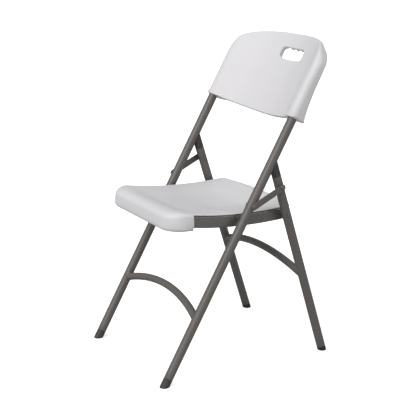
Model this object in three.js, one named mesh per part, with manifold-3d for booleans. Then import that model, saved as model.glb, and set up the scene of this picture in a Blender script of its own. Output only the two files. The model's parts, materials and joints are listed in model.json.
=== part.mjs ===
// Folding chair: two slanted front tubes that carry a curved plastic back, a pair of
// rear legs, and a dished plastic seat on steel side rails. Seat, rear legs and side
// links form a four-bar linkage, so the chair folds flat.
// Millimetres. +Z is up, the chair faces -Y, +X is the sitter's left. The floor is Z = 0.
import * as THREE from 'three';
import { mergeVertices } from 'three/addons/utils/BufferGeometryUtils.js';
import Module from 'manifold-3d';

const wasm = await Module();
wasm.setup();

// ---------- driving dimensions ----------

const GAP = 0.3;                 // air between pieces that touch

const TUBE_R = 12.5;             // legs and uprights
const TUBE_WALL = 1.4;
const LEG_X = 191.5;             // half the distance between leg axes
const FRONT_SLOPE = 0.5387;      // run over rise of the front legs, leaning back
const REAR_SLOPE = 0.3728;       // run over rise of the rear legs, leaning forward
const REAR_FOOT_Y = 535.4;       // rear leg axis on the floor, behind the front leg axis
const DEPTH_CENTRE = 268.98;     // middle of the footprint, behind the front leg axis

const LEAN = Math.atan(FRONT_SLOPE);
const RAKE = Math.atan(REAR_SLOPE);

const FRONT_TUBE_START = 24;     // along the front leg, from its foot
const FRONT_TUBE_END = 900;
const REAR_TUBE_START = 15;      // along the rear leg, from its foot
const REAR_TUBE_END = 581;

const SEAT_PIVOT = 493.5;        // along the front leg
const LINK_FRONT = 535;          // along the front leg
const LEG_PIVOT = 463.7;         // along the rear leg
const LINK_REAR = 548;           // along the rear leg

const BRACE_R = 10.5;
const BRACE_WALL = 1.2;
const FRONT_BRACE_AT = 199;      // along the front leg
const REAR_BRACE_AT = 263;       // along the rear leg
const FRONT_BRACE_RISE = 40;
const REAR_BRACE_RISE = 40;

const RAIL_X = 169;              // outer face of the seat rails
const RAIL_DEPTH = 12;
const RAIL_HEIGHT = 33;
const RAIL_SHEET = 2.2;
const RAIL_FRONT_Y = 90;
const RAIL_REAR_Y = 392;

const LINK_WIDTH = 18;
const LINK_THICK = 3;
const WASHER_THICK = 1.2;
const SHANK_R = 4;
const HOLE_R = SHANK_R + GAP;
const HEAD_R = 6;

const SEAT_X = 171;              // half width of the plastic seat
const PAN_THICK = 24;
const FRONT_LIP_Z = 419;         // underside of the seat's front lip
const CROSS_TUBE_R = 7;
const CROSS_TUBES_Y = { front: 130, rear: 345 };
const CROSS_TUBE_DROP = 20;      // from the rail's top edge down to the tube's axis

const BEAD_R = 16.5;             // plastic sleeve round each upright
const BACK_X = LEG_X + BEAD_R;   // half width of the back
const BACK_BOTTOM = 791;         // along the front leg
const BACK_TOP = 1038;
const BACK_MIDDLE = 53;          // front face at the middle, behind the tube axis
const BACK_HOLLOW = 61;          // depth of the curve between the middle and the sides
const BACK_CURVE_X = 196;
const BACK_PANEL = 15;           // thickness between the sides
const COLUMN_X = 168;            // inner side of the deep columns round the uprights
const COLUMN_REAR = { low: 30, high: 12 };
const SLOT = { centre: 973, halfLength: 54, halfHeight: 16 };
const BACK_SCREWS = [820, 872];  // along the front leg

const OUTER_FACE = LEG_X + TUBE_R;
const INNER_FACE = LEG_X - TUBE_R;
const LINK_X = OUTER_FACE + WASHER_THICK + 2 * GAP;

// ---------- materials ----------

const finish = (color, roughness, metalness) =>
  new THREE.MeshStandardMaterial({ color, roughness, metalness });
const paint = finish(0x6f6b68, 0.5, 0.4);
const paintDark = finish(0x55514e, 0.5, 0.4);
const whitePlastic = finish(0xe0dfe2, 0.45, 0);
const darkPlastic = finish(0x3c3a38, 0.6, 0);
const rubber = finish(0x262423, 0.85, 0);
const steel = finish(0x85827f, 0.35, 0.9);
const nylon = finish(0x2f2e2d, 0.55, 0);

// ---------- solids ----------

function toSolid(geometry) {
  const bare = geometry.clone();
  bare.deleteAttribute('normal');
  bare.deleteAttribute('uv');
  const merged = mergeVertices(bare, 1e-4);
  return new wasm.Manifold(new wasm.Mesh({
    numProp: 3,
    vertProperties: new Float32Array(merged.attributes.position.array),
    triVerts: new Uint32Array(merged.index.array),
  }));
}

function toGeometry(solid) {
  const mesh = solid.getMesh();
  const geometry = new THREE.BufferGeometry();
  geometry.setAttribute('position', new THREE.BufferAttribute(mesh.vertProperties, 3));
  geometry.setIndex(new THREE.BufferAttribute(mesh.triVerts, 1));
  geometry.computeVertexNormals();
  return geometry;
}

const cut = (body, ...tools) =>
  toGeometry(tools.reduce((solid, tool) => solid.subtract(toSolid(tool)), toSolid(body)));
const keep = (body, ...tools) =>
  toGeometry(tools.reduce((solid, tool) => solid.intersect(toSolid(tool)), toSolid(body)));
const join = (body, ...others) =>
  toGeometry(others.reduce((solid, other) => solid.add(toSolid(other)), toSolid(body)));

// A round bar along X, Y or Z between two stations; a and b are its other coordinates in order.
function bar(axis, radius, from, to, a = 0, b = 0, sides = 20) {
  const geometry = new THREE.CylinderGeometry(radius, radius, to - from, sides);
  const middle = (from + to) / 2;
  if (axis === 'x') return geometry.rotateZ(-Math.PI / 2).translate(middle, a, b);
  if (axis === 'y') return geometry.translate(a, middle, b);
  return geometry.rotateX(Math.PI / 2).translate(a, b, middle);
}

function block(x0, x1, y0, y1, z0, z1) {
  const geometry = new THREE.BoxGeometry(x1 - x0, y1 - y0, z1 - z0);
  return geometry.translate((x0 + x1) / 2, (y0 + y1) / 2, (z0 + z1) / 2);
}

function disc(radius, hole) {
  const shape = new THREE.Shape().absarc(0, 0, radius, 0, 2 * Math.PI);
  if (hole) shape.holes.push(new THREE.Path().absarc(0, 0, hole, 0, 2 * Math.PI, true));
  return shape;
}

// A straight hollow tube along Z.
function pipe(radius, wall, from, to, x) {
  const options = { depth: to - from, bevelEnabled: false, curveSegments: 20 };
  return new THREE.ExtrudeGeometry(disc(radius, radius - wall), options).translate(x, 0, from);
}

// A flat ring lying across X, with its nearer face at x.
function ring(radius, hole, thickness, x, y, z) {
  const options = { depth: thickness, bevelEnabled: false, curveSegments: 10 };
  return new THREE.ExtrudeGeometry(disc(radius, hole), options)
    .rotateY(Math.PI / 2).translate(x, y, z);
}

// A rivet along X: a domed head that starts at headX, a shank, and a flat tail that ends at tailX.
function rivet(side, { headX, headRise, headR = HEAD_R, tailX, tailRise = 2.4, tailR = HEAD_R }) {
  const reach = headX - tailX;
  const profile = [[0, 0], [tailR, 0], [tailR, tailRise], [SHANK_R, tailRise], [SHANK_R, reach]];
  const domeSteps = 4;
  for (let i = 0; i <= domeSteps; i += 1) {
    const turn = (i / domeSteps) * (Math.PI / 2);
    profile.push([headR * Math.cos(turn), reach + headRise * Math.sin(turn)]);
  }
  profile[profile.length - 1][0] = 0;
  const points = profile.map(([r, along]) => new THREE.Vector2(r, along));
  const geometry = new THREE.LatheGeometry(points, 16).rotateZ(-Math.PI / 2);
  geometry.translate(tailX, 0, 0);
  return side > 0 ? geometry : geometry.rotateY(Math.PI);
}

// ---------- scene graph ----------

const chair = new THREE.Group();
chair.position.y = -DEPTH_CENTRE;

// Along Z of this group runs the front leg; Y is the distance behind its axis.
const frontFrame = new THREE.Group();
frontFrame.rotation.x = -LEAN;
// Along Z of this group runs the rear leg; Y is the distance behind its axis.
const rearFrame = new THREE.Group();
rearFrame.position.y = REAR_FOOT_Y;
rearFrame.rotation.x = RAKE;
const seatGroup = new THREE.Group();
const linkGroup = new THREE.Group();
chair.add(frontFrame, rearFrame, seatGroup, linkGroup);

function add(group, name, geometry, material) {
  const mesh = new THREE.Mesh(geometry, material);
  mesh.name = name;
  group.add(mesh);
  return mesh;
}

const SIDES = [['left', 1], ['right', -1]];
const onFrontLeg = (along) => [along * Math.sin(LEAN), along * Math.cos(LEAN)];
const onRearLeg = (along) => [REAR_FOOT_Y - along * Math.sin(RAKE), along * Math.cos(RAKE)];

// Everything below the floor, seen from a leg group.
const belowFloorFromFront = () => block(-400, 400, -200, 200, -200, 0).rotateX(LEAN);
const belowFloorFromRear = () => block(-400, 400, -200, 200, -200, 0).rotateX(-RAKE);

// ---------- front legs, feet and brace ----------

for (const [name, side] of SIDES) {
  const x = side * LEG_X;
  const reach = TUBE_R + 5;
  const leg = pipe(TUBE_R, TUBE_WALL, FRONT_TUBE_START, FRONT_TUBE_END, x);
  const pivotHoles = [SEAT_PIVOT, LINK_FRONT].map((along) =>
    bar('x', HOLE_R, x - reach, x + reach, 0, along));
  const screwHoles = BACK_SCREWS.map((along) => bar('y', 2.5, 2, TUBE_R + 5, x, along, 10));
  add(frontFrame, `front_leg_${name}`, cut(leg, ...pivotHoles, ...screwHoles), paint);

  const foot = join(
    bar('z', TUBE_R, -20, FRONT_TUBE_START - GAP, x, 0, 28),
    bar('z', TUBE_R - TUBE_WALL - GAP, 0, FRONT_TUBE_START + 18, x, 0, 24),
  );
  add(frontFrame, `front_foot_${name}`, cut(foot, belowFloorFromFront()), darkPlastic);
}

// A tube that arches between two legs, coped to fit against them.
function archedBrace(along, rise) {
  const chord = LEG_X - 2;
  const radius = (chord * chord + rise * rise) / (2 * rise);
  const sweep = Math.asin(chord / radius);
  class Arch extends THREE.Curve {
    getPoint(t, target = new THREE.Vector3()) {
      const turn = sweep * (2 * t - 1);
      return target.set(radius * Math.sin(turn), 0, along + rise - radius * (1 - Math.cos(turn)));
    }
  }
  const section = disc(BRACE_R, BRACE_R - BRACE_WALL);
  const options = { steps: 16, extrudePath: new Arch(), bevelEnabled: false, curveSegments: 14 };
  const legs = SIDES.map(([, side]) =>
    bar('z', TUBE_R + GAP, along - 80, along + 80, side * LEG_X, 0, 48));
  const ends = SIDES.map(([, side]) => {
    const near = side > 0 ? LEG_X : -LEG_X - 30;
    return block(near, near + 30, -20, 20, along - 60, along + 60);
  });
  return cut(new THREE.ExtrudeGeometry(section, options), ...legs, ...ends);
}

add(frontFrame, 'front_brace', archedBrace(FRONT_BRACE_AT, FRONT_BRACE_RISE), paint);
add(rearFrame, 'rear_brace', archedBrace(REAR_BRACE_AT, REAR_BRACE_RISE), paint);

// ---------- rear legs, feet and saddle caps ----------

const crossingAlong = REAR_FOOT_Y / (FRONT_SLOPE + REAR_SLOPE) / Math.cos(RAKE);
// A front leg seen from the rear leg's group: they cross at crossingAlong.
const frontLegFromRear = (x, radius) =>
  bar('z', radius, -120, 120, x, 0, 48).rotateX(-LEAN - RAKE).translate(0, 0, crossingAlong);

for (const [name, side] of SIDES) {
  const x = side * LEG_X;
  const reach = TUBE_R + 5;
  const leg = pipe(TUBE_R, TUBE_WALL, REAR_TUBE_START, REAR_TUBE_END, x);
  const pivotHoles = [LEG_PIVOT, LINK_REAR].map((along) =>
    bar('x', HOLE_R, x - reach, x + reach, 0, along));
  add(rearFrame, `rear_leg_${name}`, cut(leg, ...pivotHoles), paint);

  const foot = join(
    bar('z', TUBE_R, -20, REAR_TUBE_START - GAP, x, 0, 28),
    bar('z', TUBE_R - TUBE_WALL - GAP, 0, REAR_TUBE_START + 18, x, 0, 24),
  );
  add(rearFrame, `rear_foot_${name}`, cut(foot, belowFloorFromRear()), rubber);

  // The cap ends in a saddle that rests on the back of the front leg when the chair is open.
  const saddleDepth = 6;
  const cap = join(
    bar('z', TUBE_R, REAR_TUBE_END + GAP, crossingAlong, x, 0, 28),
    bar('z', TUBE_R - TUBE_WALL - GAP, REAR_TUBE_END - 20, REAR_TUBE_END + 5, x, 0, 24),
  );
  const aheadOfSaddle = block(x - 60, x + 60, -100, saddleDepth, -100, 100)
    .rotateX(-LEAN - RAKE).translate(0, 0, crossingAlong);
  const saddle = cut(cap, frontLegFromRear(x, TUBE_R + GAP), aheadOfSaddle);
  add(rearFrame, `leg_cap_${name}`, saddle, darkPlastic);
}

// ---------- seat rails and cross tubes ----------

// Top edge of the rails, from front to rear: a shallow saddle.
const railTop = new THREE.SplineCurve([
  new THREE.Vector2(62, 463), new THREE.Vector2(93, 458), new THREE.Vector2(150, 450.5),
  new THREE.Vector2(215, 445.5), new THREE.Vector2(300, 443.5), new THREE.Vector2(375, 446),
  new THREE.Vector2(405, 449.5),
]);
const railTopPoints = railTop.getSpacedPoints(60);
function railTopAt(y) {
  const next = railTopPoints.findIndex((point) => point.x > y);
  const [a, b] = [railTopPoints[next - 1], railTopPoints[next]];
  return a.y + ((y - a.x) / (b.x - a.x)) * (b.y - a.y);
}

// The strip between two offsets below the rail's top edge, as an outline in Y and Z.
function stripOutline(fromY, toY, dropTop, dropBottom, steps = 14) {
  const stations = Array.from({ length: steps + 1 }, (_, i) => fromY + ((toY - fromY) * i) / steps);
  const upper = stations.map((y) => new THREE.Vector2(y, railTopAt(y) - dropTop));
  const lower = stations.map((y) => new THREE.Vector2(y, railTopAt(y) - dropBottom));
  return new THREE.Shape([...lower, ...upper.reverse()]);
}

// An outline in Y and Z carried along X from x0 to x1.
function acrossX(outline, x0, x1, curveSegments = 8) {
  const options = { depth: x1 - x0, bevelEnabled: false, curveSegments };
  const geometry = new THREE.ExtrudeGeometry(outline, options);
  const toYZ = new THREE.Matrix4().set(0, 0, 1, x0, 1, 0, 0, 0, 0, 1, 0, 0, 0, 0, 0, 1);
  return geometry.applyMatrix4(toYZ);
}

const span = (side, inner, outer) => (side > 0 ? [inner, outer] : [-outer, -inner]);
const seatPivotYZ = onFrontLeg(SEAT_PIVOT);
const legPivotYZ = onRearLeg(LEG_PIVOT);

for (const [name, side] of SIDES) {
  const body = acrossX(stripOutline(RAIL_FRONT_Y, RAIL_REAR_Y, 0, RAIL_HEIGHT),
    ...span(side, RAIL_X - RAIL_DEPTH, RAIL_X));
  const hollow = acrossX(
    stripOutline(RAIL_FRONT_Y + RAIL_SHEET, RAIL_REAR_Y - RAIL_SHEET, RAIL_SHEET,
      RAIL_HEIGHT - RAIL_SHEET),
    ...span(side, RAIL_X - RAIL_DEPTH - 5, RAIL_X - RAIL_SHEET));
  const holes = [seatPivotYZ, legPivotYZ].map((yz) =>
    bar('x', HOLE_R, ...span(side, RAIL_X - RAIL_DEPTH, RAIL_X + 5), ...yz));
  add(seatGroup, `seat_rail_${name}`, cut(body, hollow, ...holes), paintDark);
}

const crossTubeZ = (y) => railTopAt(y) - CROSS_TUBE_DROP;
const SEAT_SCREW_X = 95;
const SEAT_SCREW_R = 2.2;
for (const [name, y] of Object.entries(CROSS_TUBES_Y)) {
  const z = crossTubeZ(y);
  const end = RAIL_X - RAIL_SHEET - GAP;
  const options = { depth: 2 * end, bevelEnabled: false, curveSegments: 12 };
  const tube = new THREE.ExtrudeGeometry(disc(CROSS_TUBE_R, CROSS_TUBE_R - BRACE_WALL), options)
    .rotateY(Math.PI / 2).translate(-end, y, z);
  const screwHoles = SIDES.map(([, side]) =>
    bar('z', SEAT_SCREW_R + GAP, z - 10, z + 10, side * SEAT_SCREW_X, y, 10));
  add(seatGroup, `seat_cross_tube_${name}`, cut(tube, ...screwHoles), paintDark);
}

// ---------- plastic seat ----------

// Outline of the seat from the side, in Y and Z: rolled front lip, saddle top, rounded rear.
function seatSideOutline() {
  const shape = new THREE.Shape();
  shape.moveTo(33, FRONT_LIP_Z);
  shape.quadraticCurveTo(21, FRONT_LIP_Z, 20, 432);
  shape.quadraticCurveTo(19, 460, 44, 463.5);
  shape.lineTo(62, 463.8);
  for (const y of [93, 120, 150, 180, 215, 255, 300, 340, 375, 402]) {
    shape.lineTo(y, railTopAt(y) + 1.5);
  }
  shape.quadraticCurveTo(429, 457, 431, 445);
  shape.quadraticCurveTo(432, 428, 412, railTopAt(400) - PAN_THICK);
  for (const y of [375, 330, 290, 250, 215, 180, 150]) {
    shape.lineTo(y, railTopAt(y) - PAN_THICK);
  }
  shape.quadraticCurveTo(135, FRONT_LIP_Z, 115, FRONT_LIP_Z);
  return shape;
}

// Outline of the seat from above, in X and Y: broad front corners, bowed rear edge.
function seatPlanOutline() {
  const cornerR = 50;
  const frontY = 18;
  const shape = new THREE.Shape();
  shape.moveTo(-SEAT_X + cornerR, frontY);
  shape.lineTo(SEAT_X - cornerR, frontY);
  shape.absarc(SEAT_X - cornerR, frontY + cornerR, cornerR, -Math.PI / 2, 0);
  shape.lineTo(SEAT_X, 392);
  shape.quadraticCurveTo(SEAT_X, 412, 146, 417);
  shape.quadraticCurveTo(0, 443, -146, 417);
  shape.quadraticCurveTo(-SEAT_X, 412, -SEAT_X, 392);
  shape.lineTo(-SEAT_X, frontY + cornerR);
  shape.absarc(-SEAT_X + cornerR, frontY + cornerR, cornerR, Math.PI, 1.5 * Math.PI);
  return shape;
}

function seatShell() {
  const side = acrossX(seatSideOutline(), -SEAT_X - 5, SEAT_X + 5);
  const planOptions = { depth: 120, bevelEnabled: false, curveSegments: 10 };
  const plan = new THREE.ExtrudeGeometry(seatPlanOutline(), planOptions).translate(0, 0, 380);
  const dish = new THREE.SphereGeometry(1, 40, 24).scale(150, 172, 60).translate(0, 232, 498);
  const railBeds = SIDES.map(([, s]) =>
    acrossX(stripOutline(RAIL_FRONT_Y - GAP, RAIL_REAR_Y + GAP, -60, RAIL_HEIGHT + GAP),
      ...span(s, RAIL_X - RAIL_DEPTH - GAP, RAIL_X + 20)));
  const channels = Object.values(CROSS_TUBES_Y).flatMap((y) => {
    const z = crossTubeZ(y);
    const r = CROSS_TUBE_R + GAP;
    return [bar('x', r, -SEAT_X - 10, SEAT_X + 10, y, z),
      block(-SEAT_X - 10, SEAT_X + 10, y - r, y + r, z - 40, z)];
  });
  const screwHoles = Object.values(CROSS_TUBES_Y).flatMap((y) => SIDES.map(([, s]) =>
    bar('z', SEAT_SCREW_R + GAP, crossTubeZ(y), crossTubeZ(y) + 14, s * SEAT_SCREW_X, y, 10)));
  const body = toGeometry(toSolid(side).intersect(toSolid(plan)));
  return cut(body, dish, ...railBeds, ...channels, ...screwHoles);
}
add(seatGroup, 'seat_shell', seatShell(), whitePlastic);

// A round-headed screw along Z, head downwards, its head's flat side at z = 0.
function screw(shankR, length, headR, headRise) {
  const profile = [[0, -headRise], [headR * 0.6, -headRise * 0.85], [headR, 0], [shankR, 0],
    [shankR, length - shankR], [0, length]];
  return new THREE.LatheGeometry(profile.map(([r, z]) => new THREE.Vector2(r, z)), 14)
    .rotateX(Math.PI / 2);
}

for (const [place, y] of Object.entries(CROSS_TUBES_Y)) {
  for (const [name, side] of SIDES) {
    const mesh = add(seatGroup, `seat_screw_${place}_${name}`,
      screw(SEAT_SCREW_R, 19, 4.4, 2.4), steel);
    mesh.position.set(side * SEAT_SCREW_X, y, crossTubeZ(y) - CROSS_TUBE_R - GAP);
  }
}

// ---------- back ----------

const columnRearAt = (along) => {
  const share = (along - BACK_BOTTOM) / (960 - BACK_BOTTOM);
  return COLUMN_REAR.low + share * (COLUMN_REAR.high - COLUMN_REAR.low);
};

// Section of the back in X and Y of the front frame: a curved panel between two deep columns,
// each with a round bead in front of its upright.
function backSection() {
  const front = (x) => BACK_MIDDLE - BACK_HOLLOW * (x / BACK_CURVE_X) ** 2;
  const half = [];
  for (let x = 14; x < 173; x += 14) half.push([x, front(x)]);
  for (let turn = -160; turn <= 0; turn += 20) {
    const angle = THREE.MathUtils.degToRad(turn);
    half.push([LEG_X + BEAD_R * Math.cos(angle), BEAD_R * Math.sin(angle)]);
  }
  half.push([BACK_X, COLUMN_REAR.low - 12], [BACK_X - 8, COLUMN_REAR.low]);
  half.push([COLUMN_X, COLUMN_REAR.low]);
  for (let x = 140; x > 0; x -= 14) half.push([x, front(x) + BACK_PANEL]);
  const mirrored = half.map(([x, y]) => [-x, y]).reverse();
  const points = [[0, front(0)], ...half, [0, front(0) + BACK_PANEL], ...mirrored];
  return new THREE.Shape(points.map(([x, y]) => new THREE.Vector2(x, y)));
}

// Outline of the back from the front, in X and Z of the front frame: arched top, round corners.
function backOutline() {
  const edge = [[BACK_X + 2, BACK_BOTTOM], [BACK_X + 2, 922], [205, 938], [200, 952], [191, 972],
    [180, 987], [168, 998], [150, 1009], [116, 1023.5], [84, 1031.5], [45, 1036.5]];
  const mirrored = edge.map(([x, along]) => [-x, along]).reverse();
  const points = [...edge, [0, BACK_TOP], ...mirrored];
  return new THREE.Shape(points.map(([x, along]) => new THREE.Vector2(x, along)));
}

// An outline in X and Z of the front frame carried along Y from y0 to y1.
function acrossY(outline, y0, y1, curveSegments = 8) {
  const options = { depth: y1 - y0, bevelEnabled: false, curveSegments };
  const geometry = new THREE.ExtrudeGeometry(outline, options);
  return geometry.rotateX(Math.PI / 2).translate(0, y1, 0);
}

function slotOutline() {
  const { centre, halfLength, halfHeight } = SLOT;
  const straight = halfLength - halfHeight;
  const shape = new THREE.Shape();
  shape.absarc(straight, centre, halfHeight, -Math.PI / 2, Math.PI / 2);
  shape.absarc(-straight, centre, halfHeight, Math.PI / 2, 1.5 * Math.PI);
  return shape;
}

function backShell() {
  const height = BACK_TOP - BACK_BOTTOM + 20;
  const sectionOptions = { depth: height, bevelEnabled: false };
  const section = new THREE.ExtrudeGeometry(backSection(), sectionOptions)
    .translate(0, 0, BACK_BOTTOM - 10);
  const body = toGeometry(toSolid(section).intersect(toSolid(acrossY(backOutline(), -60, 110))));
  const slot = acrossY(slotOutline(), 10, 100);
  const tunnels = SIDES.map(([, s]) =>
    bar('z', TUBE_R + GAP, BACK_BOTTOM - 20, FRONT_TUBE_END + GAP, s * LEG_X, 0, 28));
  const taper = SIDES.map(([, s]) => {
    const outline = new THREE.Shape([
      new THREE.Vector2(columnRearAt(BACK_BOTTOM - 20), BACK_BOTTOM - 20),
      new THREE.Vector2(120, BACK_BOTTOM - 20), new THREE.Vector2(120, BACK_TOP + 20),
      new THREE.Vector2(columnRearAt(BACK_TOP + 20), BACK_TOP + 20),
    ]);
    return acrossX(outline, ...span(s, COLUMN_X, BACK_X + 20));
  });
  const screwHoles = SIDES.flatMap(([, s]) => BACK_SCREWS.map((along) =>
    bar('y', 2.5, 5, 50, s * LEG_X, along, 10)));
  return cut(body, slot, ...tunnels, ...taper, ...screwHoles);
}
add(frontFrame, 'backrest_shell', backShell(), whitePlastic);

BACK_SCREWS.forEach((along, index) => {
  const place = index === 0 ? 'lower' : 'upper';
  for (const [name, side] of SIDES) {
    const mesh = add(frontFrame, `back_screw_${place}_${name}`, screw(2.2, 18, 4.4, 2.4), steel);
    mesh.rotation.x = Math.PI / 2;
    mesh.position.set(side * LEG_X, columnRearAt(along) + 2 * GAP, along);
  }
});

// ---------- pivots and links ----------

const LOW_HEAD_RISE = 1.2;
for (const [name, side] of SIDES) {
  // Seat pivot: a flat head under the sweep of the link, a spacer, and a tail inside the rail.
  const spacerX = side > 0 ? RAIL_X + GAP : -INNER_FACE + GAP;
  const spacerLength = INNER_FACE - RAIL_X - 2 * GAP;
  const railTail = { tailX: RAIL_X - RAIL_SHEET - GAP - 2.4, tailR: 7 };
  const seatPivot = rivet(side, { headX: OUTER_FACE + GAP, headRise: LOW_HEAD_RISE, ...railTail });
  add(frontFrame, `seat_pivot_rivet_${name}`, seatPivot, steel).position.z = SEAT_PIVOT;
  add(frontFrame, `seat_pivot_spacer_${name}`,
    ring(9, HOLE_R, spacerLength, spacerX, 0, 0), nylon).position.z = SEAT_PIVOT;

  const legPivot = rivet(side, { headX: OUTER_FACE + GAP, headRise: 2.6, headR: 6.5, ...railTail });
  add(rearFrame, `leg_pivot_rivet_${name}`, legPivot, steel).position.z = LEG_PIVOT;
  add(rearFrame, `leg_pivot_spacer_${name}`,
    ring(9, HOLE_R, spacerLength, spacerX, 0, 0), nylon).position.z = LEG_PIVOT;

  // Link rivets: the front one goes through the leg, the rear one is opened at the leg's skin.
  const headX = LINK_X + LINK_THICK + GAP;
  const washerX = side > 0 ? OUTER_FACE + GAP : -OUTER_FACE - GAP - WASHER_THICK;
  const frontRivet = rivet(side, { headX, headRise: 3.3, tailX: INNER_FACE - GAP - 2.4 });
  add(frontFrame, `link_front_rivet_${name}`, frontRivet, steel).position.z = LINK_FRONT;
  add(frontFrame, `link_front_washer_${name}`,
    ring(8, HOLE_R, WASHER_THICK, washerX, 0, 0), nylon).position.z = LINK_FRONT;

  const [rearY, rearZ] = onRearLeg(LINK_REAR);
  const rearRivet = rivet(side, { headX, headRise: 3.3, tailX: OUTER_FACE + GAP, tailR: SHANK_R,
    tailRise: 0.5 });
  add(linkGroup, `link_rear_rivet_${name}`, rearRivet, steel).position.set(0, rearY, rearZ);
  add(linkGroup, `link_rear_washer_${name}`,
    ring(8, HOLE_R, WASHER_THICK, washerX, 0, 0), nylon).position.set(0, rearY, rearZ);

  const tail = join(
    bar('x', SHANK_R, ...span(side, INNER_FACE - GAP - 1, OUTER_FACE - 1), 0, 0, 16),
    bar('x', HEAD_R, ...span(side, INNER_FACE - GAP - 2.4, INNER_FACE - GAP), 0, 0, 16),
  );
  add(rearFrame, `link_rivet_tail_${name}`, tail, steel).position.z = LINK_REAR;

  const [frontY, frontZ] = onFrontLeg(LINK_FRONT);
  const length = Math.hypot(rearY - frontY, rearZ - frontZ);
  const plate = new THREE.Shape();
  plate.absarc(0, 0, LINK_WIDTH / 2, Math.PI / 2, 1.5 * Math.PI);
  plate.absarc(length, 0, LINK_WIDTH / 2, -Math.PI / 2, Math.PI / 2);
  for (const y of [0, length]) {
    plate.holes.push(new THREE.Path().absarc(y, 0, HOLE_R, 0, 2 * Math.PI, true));
  }
  const link = acrossX(plate, ...span(side, LINK_X, LINK_X + LINK_THICK), 10);
  const mesh = add(linkGroup, `link_${name}`, link, paint);
  mesh.rotation.x = Math.atan2(rearZ - frontZ, rearY - frontY);
  mesh.position.set(0, frontY, frontZ);
}

export default chair;
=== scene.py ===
"""Folding chair with a dished plastic seat, a curved plastic back and a grey tube frame.

Lengths are metres. The chair stands on z = 0 and faces -Y, and the sitter's left is +X.
Two frames of reference follow the legs: "along" runs up a leg from its foot, and
"behind" is the distance to the rear of that leg's axis, at right angles to it.
"""

import json
import math

import bpy
import numpy as np
from mathutils import Matrix, Vector


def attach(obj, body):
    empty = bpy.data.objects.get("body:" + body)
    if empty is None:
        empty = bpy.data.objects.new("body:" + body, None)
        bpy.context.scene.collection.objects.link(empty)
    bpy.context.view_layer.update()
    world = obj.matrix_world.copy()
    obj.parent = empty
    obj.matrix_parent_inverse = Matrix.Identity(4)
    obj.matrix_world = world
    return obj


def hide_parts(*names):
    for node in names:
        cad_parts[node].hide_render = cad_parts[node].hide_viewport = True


# ---------- sizes shared with the solid parts ----------

TUBE_R = 0.0125
LEG_X = 0.1915
FRONT_SLOPE = 0.5387
REAR_SLOPE = 0.3728
FRONT_FOOT_Y = -0.26898
REAR_FOOT_Y = 0.26642

FRONT_TUBE_START = 0.024
FRONT_TUBE_END = 0.900
REAR_TUBE_START = 0.015
REAR_TUBE_END = 0.581

SEAT_PIVOT = 0.4935
LINK_FRONT = 0.535
LEG_PIVOT = 0.4637
LINK_REAR = 0.548

BRACE_R = 0.0105
FRONT_BRACE = {"along": 0.199, "rise": 0.040}
REAR_BRACE = {"along": 0.263, "rise": 0.040}
# The middle of a weld is this far above the end of its brace, because the brace rises.
WELD_LIFT = 0.0045

RAIL_X = 0.169
RAIL_DEPTH = 0.012
RAIL_HEIGHT = 0.033
RAIL_SHEET = 0.0022
RAIL_BEND = 0.0042
RAIL_ENDS = (0.090, 0.392)
# The rails sit this much lower than the edge of RAIL_TOP, so that their upper bend shows.
RAIL_DROP = 0.0016
# Top edge of the seat rails, as distance behind the front feet and height.
RAIL_TOP = [(0.062, 0.463), (0.093, 0.458), (0.150, 0.4505), (0.215, 0.4455),
            (0.300, 0.4435), (0.375, 0.446), (0.405, 0.4495)]

BEAD_R = 0.0165
BEAD_INNER = 0.030
BACK_X = LEG_X + BEAD_R
BACK_BOTTOM = 0.791
BACK_TOP = 1.0412
BACK_SILL = 0.0030
BACK_MIDDLE = 0.0555
BACK_SWEEP = 0.485
BACK_EASE = 0.080
BACK_PANEL = 0.015

SLOT_CENTRE = 0.9765
SLOT_SIZE = (0.0495, 0.0170)
SLOT_POWER = 5.5

OUTER_FACE = LEG_X + TUBE_R
INNER_FACE = LEG_X - TUBE_R
LINK_THICK = 0.003
LINK_X = OUTER_FACE + 0.0018

WORLD_STRENGTH = 0.42
KEY_DIRECTION = (-0.20, 0.69, -0.69)
KEY_STRENGTH = 2.0
KEY_SPREAD = 45
RIM_DIRECTION = (-0.62, -0.48, -0.62)
RIM_STRENGTH = 0.42
RIM_SPREAD = 16

CAMERA_PLACE = (2.3607, -1.58647, 1.22113)
CAMERA_RIGHT = (0.52903346, 0.84804088, 0.03082632)
CAMERA_UP = (-0.27314836, 0.13578054, 0.95234113)
CAMERA_LENS = 89.676
CAMERA_SHIFT = (0.0479, 0.0719)

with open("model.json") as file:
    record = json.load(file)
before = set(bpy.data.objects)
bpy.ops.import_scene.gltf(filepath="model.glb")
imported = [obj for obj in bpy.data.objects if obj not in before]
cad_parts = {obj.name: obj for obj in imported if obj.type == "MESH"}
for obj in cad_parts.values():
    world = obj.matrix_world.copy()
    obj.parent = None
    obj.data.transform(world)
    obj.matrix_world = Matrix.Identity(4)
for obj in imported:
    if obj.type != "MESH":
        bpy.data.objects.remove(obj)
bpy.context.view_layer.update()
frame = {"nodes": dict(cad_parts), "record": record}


# ---------- directions ----------

class LegFrame:
    """Axes of a leg: "up" runs up the leg and "behind" points to its rear."""

    def __init__(self, foot_y, lean):
        self.foot = np.array([0.0, foot_y, 0.0])
        self.up = np.array([0.0, math.sin(lean), math.cos(lean)])
        self.behind = np.array([0.0, math.cos(lean), -math.sin(lean)])

    def place(self, x, behind, along):
        """World points for arrays of x, distance behind the axis and distance along the leg."""
        x, behind, along = np.broadcast_arrays(x, behind, along)
        points = self.foot + along[..., None] * self.up + behind[..., None] * self.behind
        points[..., 0] = x
        return points


FRONT = LegFrame(FRONT_FOOT_Y, math.atan(FRONT_SLOPE))
REAR = LegFrame(REAR_FOOT_Y, -math.atan(REAR_SLOPE))
SIDES = (("left", 1.0), ("right", -1.0))


# ---------- mesh building ----------

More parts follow.
